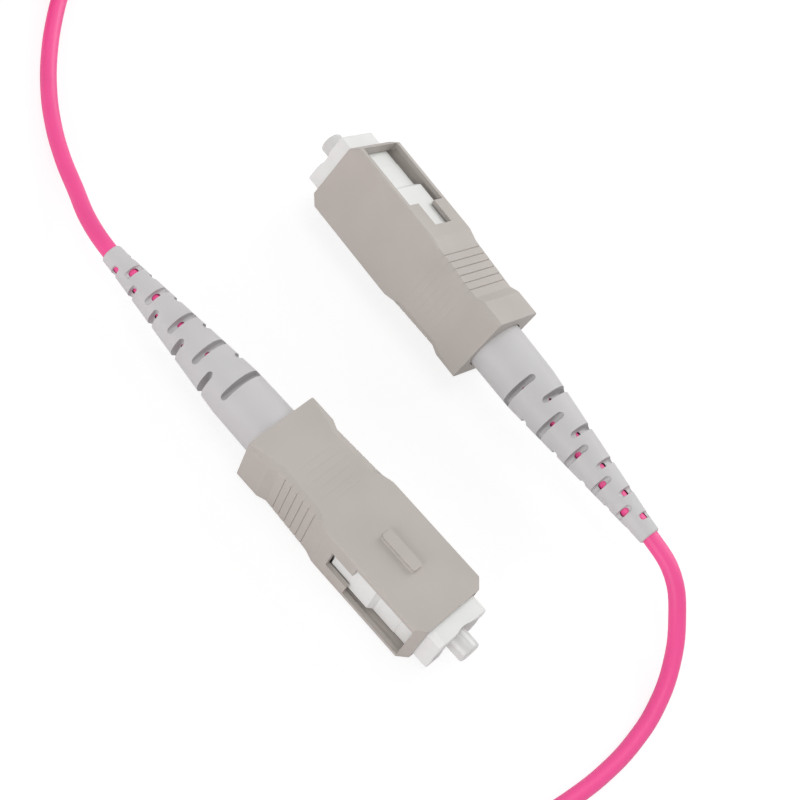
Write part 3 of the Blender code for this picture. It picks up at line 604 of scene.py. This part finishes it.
def refine_grip(made):
    """Lower the key, draw the grooves as fine lines, and keep the strips broad up to the end of the waist."""
    for point in made.data.vertices:
        along, across, up = point.co
        if abs(up) > GRIP_HALF_HEIGHT + KEY_TOP_ABOVE:
            point.co.z = math.copysign(GRIP_HALF_HEIGHT + KEY_HEIGHT, up)
        for middle in groove_middles():
            apart = along - middle
            if abs(abs(apart) - GROOVE_CUT_HALF_WIDTH) < SLACK:
                point.co.x = middle + math.copysign(GROOVE_LINE_HALF_WIDTH, apart)
        on_wide_face_edge = abs(abs(up) - GRIP_HALF_HEIGHT) < SLACK and abs(across) > GRIP_FLANK
        if on_wide_face_edge and STRIP_FROM + SLACK < along < STRIP_TO + SLACK:
            share = (along - STRIP_FROM) / (STRIP_RUN_OUT - STRIP_FROM)
            strip = STRIP_WIDTH + (GRIP_EDGE - STRIP_WIDTH) * share
            wanted = STRIP_KEPT if along < STRIP_TO - SLACK else GRIP_EDGE
            point.co.y = math.copysign(abs(across) + strip - wanted, across)


def grip_crisp(middle):
    """Whether an edge of the grip stays crisp: among the grooves and on the key."""
    first, *_, last = groove_middles()
    among_grooves = first - GROOVE_MARGIN < middle.x < last + GROOVE_MARGIN
    return among_grooves or abs(middle.z) > GRIP_HALF_HEIGHT + KEY_EDGES_ABOVE


def rib_cutter(along, side):
    """A long thin spheroid that dips just under a wide face."""
    bpy.ops.object.select_all(action="DESELECT")
    bpy.ops.mesh.primitive_uv_sphere_add(
        segments=RIB_SIDES, ring_count=RIB_RINGS, radius=1.0, rotation=(math.pi / 2.0, 0.0, 0.0)
    )
    made = bpy.context.object
    bpy.ops.object.transform_apply(location=True, rotation=True, scale=True)
    bpy.ops.transform.resize(value=(RIB_RADIUS, RIB_HALF_LENGTH, RIB_RADIUS))
    lift = GRIP_HALF_HEIGHT + RIB_RADIUS - RIB_DEPTH
    bpy.ops.transform.translate(value=(along, 0.0, side * lift))
    bpy.ops.object.transform_apply(location=True, rotation=True, scale=True)
    return made


def cut_ribs(made):
    """Press faint finger lines into both wide faces, each running out before the edges."""
    cut_away(made, [rib_cutter(middle, side) for side in (1.0, -1.0) for middle in groove_middles()])


def smooth_line(points, count=CURVE_READINGS):
    """A centripetal curve through the points, read finely."""
    knots = [Vector(point) for point in points]
    padded = [knots[0] * 2.0 - knots[1], *knots, knots[-1] * 2.0 - knots[-2]]
    read = []
    for place in range(1, len(padded) - 2):
        group = padded[place - 1:place + 3]
        times = [0.0]
        for here, there in zip(group, group[1:]):
            times.append(times[-1] + math.sqrt((there - here).length))
        for step in range(count):
            moment = times[1] + (times[2] - times[1]) * step / count
            level = list(group)
            for depth in (1, 2, 3):
                blended = []
                for low in range(len(level) - 1):
                    start = times[1] if depth == 3 else times[low]
                    end = times[2] if depth == 3 else times[low + depth]
                    share = (moment - start) / (end - start)
                    blended.append(level[low].lerp(level[low + 1], share))
                level = blended
            read.append(level[0])
    read.append(knots[-1])
    return read


def evenly(points, step):
    """The same line read at even steps."""
    walked = [0.0]
    for here, there in zip(points, points[1:]):
        walked.append(walked[-1] + (there - here).length)
    count = max(2, int(round(walked[-1] / step)))
    read = []
    place = 0
    for mark in range(count + 1):
        distance = walked[-1] * mark / count
        while place < len(walked) - 2 and walked[place + 1] < distance:
            place += 1
        span = walked[place + 1] - walked[place]
        share = (distance - walked[place]) / span if span else 0.0
        read.append(points[place].lerp(points[place + 1], min(1.0, share)))
    return read


def round_coil(reach, turn, height):
    """A point at this reach and turn round the coil's middle."""
    return Vector((COIL_CENTRE[0] + reach * math.cos(turn), COIL_CENTRE[1] + reach * math.sin(turn), height))


def coil_line(radius):
    """The turns of the coil: inwards on the floor, then outwards above, layer by layer, a diameter apart."""
    diameter = radius * 2.0
    half = COIL_TURNS_ACROSS * radius
    turns = COIL_LAYERS * COIL_TURNS_ACROSS
    total = int(round(turns * COIL_POINTS_PER_TURN))
    line = []
    for step in range(total + 1):
        turned = turns * step / total
        layer = min(COIL_LAYERS - 1, int(turned / COIL_TURNS_ACROSS))
        share = turned / COIL_TURNS_ACROSS - layer
        outward = share if layer % 2 else 1.0 - share
        reach = COIL_MIDDLE_RADIUS - half + outward * half * 2.0
        height = COIL_LOW + radius
        for change in range(1, COIL_LAYERS):
            rise = (turned - change * COIL_TURNS_ACROSS) / LAYER_CHANGE + 0.5
            rise = min(1.0, max(0.0, rise))
            height += diameter * rise * rise * (3.0 - 2.0 * rise)
        turn = math.tau * turned
        line.append(round_coil(reach, turn, height))
    return line


def cable_line(radius):
    """The whole cable from inside the near boot, through the coil, to inside the far boot."""
    outer = COIL_MIDDLE_RADIUS + COIL_TURNS_ACROSS * radius
    stop = math.sqrt((outer + 2.0 * radius + COIL_CLEARANCE) ** 2 - outer ** 2)
    highest = COIL_LOW + radius + 2.0 * radius * (COIL_LAYERS - 1)
    centre = Vector((*COIL_CENTRE, 0.0))
    runs = []
    for place, route, end in (
        (NEAR, NEAR_ROUTE, centre + Vector((outer, -stop, COIL_LOW + radius))),
        (FAR, FAR_ROUTE, centre + Vector((-outer, -stop, highest))),
    ):
        rear, tail, beyond = (
            place @ Vector((along, 0.0, 0.0)) for along in (CABLE_REAR, BOOT_TAIL, BOOT_TAIL - CABLE_STRAIGHT)
        )
        inside = evenly([rear, tail], CABLE_STEP)
        outside = evenly(smooth_line([tail, beyond, *route, end]), CABLE_STEP)
        for point in outside:
            point.z = max(point.z, radius)
        runs.append([*inside, *outside[1:]])
    return [*runs[0], *coil_line(radius), *reversed(runs[1])]


class PATCHCORD_OT_cable(bpy.types.Operator):
    """Lay the cable: out of the near boot, round its stored coil and back to the far boot"""

    bl_idname = "patchcord.cable"
    bl_label = "Cable"

    def execute(self, context):
        diameter = context.scene.patch_cord_sizes.cable_diameter
        points = cable_line(diameter / 2.0)
        line = bpy.data.curves.new("cable_jacket", "CURVE")
        line.dimensions = "3D"
        line.bevel_depth = diameter / 2.0
        line.bevel_resolution = JACKET_BEVEL_STEPS
        line.resolution_u = JACKET_STEPS
        line.use_fill_caps = True
        spline = line.splines.new("BEZIER")
        spline.bezier_points.add(len(points) - 1)
        for knot, point in zip(spline.bezier_points, points):
            knot.co = point
            knot.handle_left_type = "AUTO"
            knot.handle_right_type = "AUTO"
        made = bpy.data.objects.new("cable_jacket", line)
        context.scene.collection.objects.link(made)
        # Low-smoke jacket, extruded: an even satin skin with hardly any relief
        jacket = moulded(
            "extruded_pink_jacket",
            colour_of(context.scene.patch_cord_colours.jacket),
            roughness=0.42,
            grain=0.0006,
            relief=0.00001,
        )
        line.materials.append(jacket)
        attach(made, "cord")
        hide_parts("near_cable", "far_cable", "cable_coil")
        context.view_layer.update()
        return {"FINISHED"}


class PATCHCORD_OT_boots(bpy.types.Operator):
    """Make the slotted strain relief of each connector"""

    bl_idname = "patchcord.boots"
    bl_label = "Boots"

    def execute(self, context):
        # Thermoplastic rubber: a soft matt skin that spreads its highlight
        rubber = moulded(
            "moulded_white_rubber",
            colour_of(context.scene.patch_cord_colours.boot),
            roughness=0.55,
            grain=0.00025,
            relief=0.00001,
        )
        boots = placed_pair(make_boot("boot"), "near_boot_skin", "far_boot_skin", rubber)
        for piece, node in zip(boots, ("near_boot", "far_boot")):
            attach(piece, "cord")
            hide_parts(node)
        return {"FINISHED"}


class PATCHCORD_OT_grips(bpy.types.Operator):
    """Make the sliding grip of each connector"""

    bl_idname = "patchcord.grips"
    bl_label = "Grips"

    def execute(self, context):
        rounding = context.scene.patch_cord_sizes.edge_rounding
        # Polyester moulded in a spark-eroded tool: a fine even grain, nearly matt
        plastic = moulded(
            "moulded_beige_polyester",
            colour_of(context.scene.patch_cord_colours.grip),
            roughness=0.5,
            grain=0.00016,
            relief=0.000006,
        )
        for side, place in (("near", NEAR), ("far", FAR)):
            made = rounded_copy(
                side + "_grip",
                side + "_grip_shell",
                place,
                rounding,
                GRIP_ROUNDING_STEPS,
                reshape=refine_grip,
                keep_crisp=grip_crisp,
            )
            cut_ribs(made)
            finish_copy(made, place, plastic)
            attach(made, side + "_grip")
            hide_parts(side + "_grip")
        return {"FINISHED"}


class PATCHCORD_OT_plug_frames(bpy.types.Operator):
    """Make the white plug frame of each connector"""

    bl_idname = "patchcord.plug_frames"
    bl_label = "Plug frames"

    def execute(self, context):
        rounding = context.scene.patch_cord_sizes.edge_rounding
        # Polyester from a polished tool: smoother and brighter than the grip
        plastic = moulded(
            "moulded_white_polyester",
            colour_of(context.scene.patch_cord_colours.plug_frame),
            roughness=0.38,
            grain=0.0003,
            relief=0.000003,
        )
        for side, place in (("near", NEAR), ("far", FAR)):
            made = rounded_copy(
                side + "_plug_frame",
                side + "_plug_frame_shell",
                place,
                rounding,
                FRAME_ROUNDING_STEPS,
            )
            finish_copy(made, place, plastic)
            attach(made, "cord")
            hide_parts(side + "_plug_frame")
        return {"FINISHED"}


class PATCHCORD_OT_ferrules(bpy.types.Operator):
    """Finish the ferrules and the pieces inside each connector"""

    bl_idname = "patchcord.ferrules"
    bl_label = "Ferrules and inner pieces"

    def execute(self, context):
        colours = context.scene.patch_cord_colours
        # Zirconia ceramic, ground and polished: dense white with a tight highlight
        ceramic = moulded(
            "polished_zirconia",
            colour_of(colours.ferrule),
            roughness=0.22,
            grain=0.0004,
            relief=0.000001,
            tint=0.01,
            coat=0.2,
        )
        # Nickel-plated turned brass: warm grey metal
        brass = metal("nickel_plated_brass", colour_of(colours.brass), roughness=0.32)
        # Stainless steel, turned or drawn as wire: neutral grey metal
        steel = metal("stainless_steel", colour_of(colours.steel), roughness=0.3)
        # Aramid yarn: dull straw-yellow filaments
        yarn = cloth("aramid_yarn", colour_of(colours.yarn), thread=0.0002)
        # Tight buffer over the glass: smooth milky plastic
        buffer = moulded(
            "tight_buffer", colour_of(colours.buffer), roughness=0.4, grain=0.0003, relief=0.000002
        )
        finishes = {
            "ferrule_flange": steel,
            "spring": steel,
            "stop_body": brass,
            "crimp_sleeve": brass,
            "aramid_ring": yarn,
            "buffered_fibre": buffer,
        }
        for side in ("near", "far"):
            for piece, finish in finishes.items():
                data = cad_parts[side + "_" + piece].data
                data.materials.clear()
                data.materials.append(finish)
        turned = drawn_tube("ferrule", FERRULE_OUTLINE, FERRULE_SIDES)
        select_only(turned)
        bpy.ops.object.shade_smooth_by_angle(angle=FERRULE_SMOOTH_ANGLE)
        pair = placed_pair(turned, "near_ferrule_body", "far_ferrule_body", ceramic)
        for piece, side in zip(pair, ("near", "far")):
            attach(piece, side + "_ferrule")
            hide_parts(side + "_ferrule")
        return {"FINISHED"}


def strap_path():
    """Inner line of the strap as (across, up) points: once round the coil's section, then over its start."""
    flat = STRAP_HALF_ACROSS - STRAP_CORNER
    tall = STRAP_HALF_UP - STRAP_CORNER
    path = []
    for step in range(STRAP_START_STEPS):
        path.append((STRAP_START + (-flat - STRAP_START) * step / STRAP_START_STEPS, STRAP_HALF_UP))
    for across, up, first in (
        (-flat, tall, math.radians(90.0)),
        (-flat, -tall, math.radians(180.0)),
        (flat, -tall, math.radians(270.0)),
        (flat, tall, 0.0),
    ):
        for step in range(STRAP_CORNER_STEPS + 1):
            turn = first + math.radians(90.0) * step / STRAP_CORNER_STEPS
            path.append((across + STRAP_CORNER * math.cos(turn), up + STRAP_CORNER * math.sin(turn)))
    for step in range(1, STRAP_LAP_STEPS + 1):
        share = step / STRAP_LAP_STEPS
        rise = min(1.0, share * STRAP_LAP_RISE)
        lift = STRAP_THICKNESS * STRAP_LAP_LIFT * rise * rise * (3.0 - 2.0 * rise)
        path.append((flat + (STRAP_END - flat) * share, STRAP_HALF_UP + lift))
    return path


class PATCHCORD_OT_strap(bpy.types.Operator):
    """Wrap the hook-and-loop strap round the coil, with its end over its start"""

    bl_idname = "patchcord.strap"
    bl_label = "Strap"

    def execute(self, context):
        path = strap_path()
        first, second = path[:2]
        bpy.ops.object.select_all(action="DESELECT")
        bpy.ops.mesh.primitive_grid_add(x_subdivisions=STRAP_COLUMNS, y_subdivisions=1, size=1.0)
        made = context.object
        made.name = "coil_strap"
        for point in made.data.vertices:
            across, up = first if point.co.y < 0.0 else second
            point.co = (point.co.x * STRAP_WIDTH, across, up)
        bpy.ops.object.mode_set(mode="EDIT")
        bpy.ops.mesh.select_all(action="DESELECT")
        bpy.ops.object.mode_set(mode="OBJECT")
        for edge in made.data.edges:
            edge.select = all(
                abs(made.data.vertices[index].co.y - second[0]) < SLACK for index in edge.vertices
            )
        bpy.ops.object.mode_set(mode="EDIT")
        bpy.ops.mesh.select_mode(type="EDGE")
        for here, there in zip(path[1:], path[2:]):
            step = (0.0, there[0] - here[0], there[1] - here[1])
            bpy.ops.mesh.extrude_edges_move(TRANSFORM_OT_translate={"value": step})
        bpy.ops.mesh.select_all(action="SELECT")
        bpy.ops.mesh.normals_make_consistent(inside=False)
        bpy.ops.object.mode_set(mode="OBJECT")
        apply_modifier(made, "SOLIDIFY", thickness=STRAP_THICKNESS, offset=1.0)
        apply_modifier(
            made,
            "BEVEL",
            width=STRAP_THICKNESS * STRAP_ROUNDING,
            segments=STRAP_ROUNDING_STEPS,
            limit_method="ANGLE",
            angle_limit=STRAP_EDGE_ANGLE,
        )
        for point in made.data.vertices:
            along, across, up = point.co
            turn = STRAP_HEADING + along / COIL_MIDDLE_RADIUS
            point.co = round_coil(COIL_MIDDLE_RADIUS + across, turn, STRAP_MIDDLE_UP + up)
        bpy.ops.object.mode_set(mode="EDIT")
        bpy.ops.mesh.select_all(action="SELECT")
        bpy.ops.mesh.normals_make_consistent(inside=False)
        bpy.ops.object.mode_set(mode="OBJECT")
        bpy.ops.object.shade_smooth_by_angle(angle=MOULDED_SMOOTH_ANGLE)
        # Hook-and-loop strap: a dark woven band with raised threads
        band = cloth(
            "hook_and_loop_strap", colour_of(context.scene.patch_cord_colours.strap), thread=STRAP_THREAD
        )
        made.data.materials.append(band)
        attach(made, "cord")
        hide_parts("coil_tie")
        return {"FINISHED"}


def lay_floor():
    """Lay seamless paper: the camera sees it near white, and the cord's shadow stays on it."""
    bpy.ops.object.select_all(action="DESELECT")
    bpy.ops.mesh.primitive_plane_add(size=FLOOR_SIZE, location=(0.0, 0.0, 0.0))
    floor = bpy.context.object
    floor.name = "studio_floor"
    paper, tree = start_material("white_paper")
    diffuse = add_node(tree, "ShaderNodeBsdfDiffuse", values={"Color": PAPER})
    glow = add_node(tree, "ShaderNodeEmission", values={"Color": WHITE, "Strength": FLOOR_GLOW})
    path = add_node(tree, "ShaderNodeLightPath")
    share = add_node(
        tree,
        "ShaderNodeMath",
        settings={"operation": "MULTIPLY"},
        values={1: FLOOR_GLOW_SHARE},
        links={0: path.outputs["Is Camera Ray"]},
    )
    blend = add_node(
        tree,
        "ShaderNodeMixShader",
        links={0: share.outputs[0], 1: diffuse.outputs[0], 2: glow.outputs[0]},
    )
    add_node(tree, "ShaderNodeOutputMaterial", links={"Surface": blend.outputs[0]})
    floor.data.materials.append(paper)


def light_dome(scene):
    """A white dome: full white to the camera and in reflections, and a soft even light on everything."""
    world = bpy.data.worlds.new("studio_dome")
    world.use_nodes = True
    tree = world.node_tree
    tree.nodes.clear()
    path = add_node(tree, "ShaderNodeLightPath")
    seen = path.outputs["Is Camera Ray"]
    for ray in ("Is Glossy Ray", "Is Transmission Ray"):
        either = add_node(
            tree,
            "ShaderNodeMath",
            settings={"operation": "MAXIMUM"},
            links={0: seen, 1: path.outputs[ray]},
        )
        seen = either.outputs[0]
    strength = add_node(
        tree, "ShaderNodeMapRange", values={"To Min": DOME_LIGHT, "To Max": 1.0}, links={"Value": seen}
    )
    dome = add_node(
        tree,
        "ShaderNodeBackground",
        values={"Color": WHITE},
        links={"Strength": strength.outputs[0]},
    )
    add_node(tree, "ShaderNodeOutputWorld", links={"Surface": dome.outputs[0]})
    scene.world = world


def hang_lamps(scene):
    """Round softboxes, each turned to the middle of the floor."""
    for name, place, size, power in LAMPS:
        lamp = bpy.data.lights.new(name, "AREA")
        lamp.shape = "DISK"
        lamp.size = size
        lamp.energy = power
        made = bpy.data.objects.new(name, lamp)
        made.location = place
        made.rotation_mode = "QUATERNION"
        made.rotation_quaternion = (-Vector(place)).to_track_quat("-Z", "Y")
        scene.collection.objects.link(made)


def set_camera(scene):
    """The camera at the photo's viewing angle, turned about its own line of sight by the roll."""
    lens = bpy.data.cameras.new("photo_camera")
    lens.lens = CAMERA_LENS
    lens.sensor_width = CAMERA_SENSOR
    lens.clip_start, lens.clip_end = CAMERA_CLIP
    camera = bpy.data.objects.new("photo_camera", lens)
    scene.collection.objects.link(camera)
    eye = Vector(CAMERA_EYE)
    forward = (Vector(CAMERA_TARGET) - eye).normalized()
    right = forward.cross(Vector((0.0, 0.0, 1.0))).normalized()
    down = forward.cross(right)
    image_right = right * math.cos(CAMERA_ROLL) + down * math.sin(CAMERA_ROLL)
    image_down = down * math.cos(CAMERA_ROLL) - right * math.sin(CAMERA_ROLL)
    turn = Matrix((image_right, -image_down, -forward)).transposed().to_4x4()
    camera.matrix_world = Matrix.Translation(eye) @ turn
    scene.camera = camera


class PATCHCORD_OT_stage(bpy.types.Operator):
    """Set the floor, the soft lamps and the camera"""

    bl_idname = "patchcord.stage"
    bl_label = "Stage"

    def execute(self, context):
        context.scene.view_settings.view_transform = "Standard"
        lay_floor()
        light_dome(context.scene)
        hang_lamps(context.scene)
        set_camera(context.scene)
        return {"FINISHED"}


STEPS = (
    PATCHCORD_OT_stage,
    PATCHCORD_OT_strap,
    PATCHCORD_OT_cable,
    PATCHCORD_OT_boots,
    PATCHCORD_OT_grips,
    PATCHCORD_OT_plug_frames,
    PATCHCORD_OT_ferrules,
)


class PATCHCORD_PT_panel(bpy.types.Panel):
    """Sidebar list of the cord's pieces"""

    bl_label = "Patch cord"
    bl_idname = "PATCHCORD_PT_panel"
    bl_space_type = "VIEW_3D"
    bl_region_type = "UI"
    bl_category = "Patch cord"

    def draw(self, context):
        for group in (context.scene.patch_cord_sizes, context.scene.patch_cord_colours):
            for name in group.__annotations__:
                self.layout.prop(group, name)
        for step in STEPS:
            self.layout.operator(step.bl_idname)


CLASSES = (PatchCordSizes, PatchCordColours, *STEPS, PATCHCORD_PT_panel)


def register():
    """Register the classes and hang the sizes and colours on the scene."""
    for kind in CLASSES:
        bpy.utils.register_class(kind)
    bpy.types.Scene.patch_cord_sizes = bpy.props.PointerProperty(type=PatchCordSizes)
    bpy.types.Scene.patch_cord_colours = bpy.props.PointerProperty(type=PatchCordColours)


def unregister():
    """Take them off again."""
    del bpy.types.Scene.patch_cord_colours
    del bpy.types.Scene.patch_cord_sizes
    for kind in reversed(CLASSES):
        bpy.utils.unregister_class(kind)


def main():
    """Make every piece in order."""
    register()
    bpy.ops.patchcord.stage()
    bpy.ops.patchcord.strap()
    bpy.ops.patchcord.cable()
    bpy.ops.patchcord.boots()
    bpy.ops.patchcord.grips()
    bpy.ops.patchcord.plug_frames()
    bpy.ops.patchcord.ferrules()


if __name__ == "__main__":
    main()
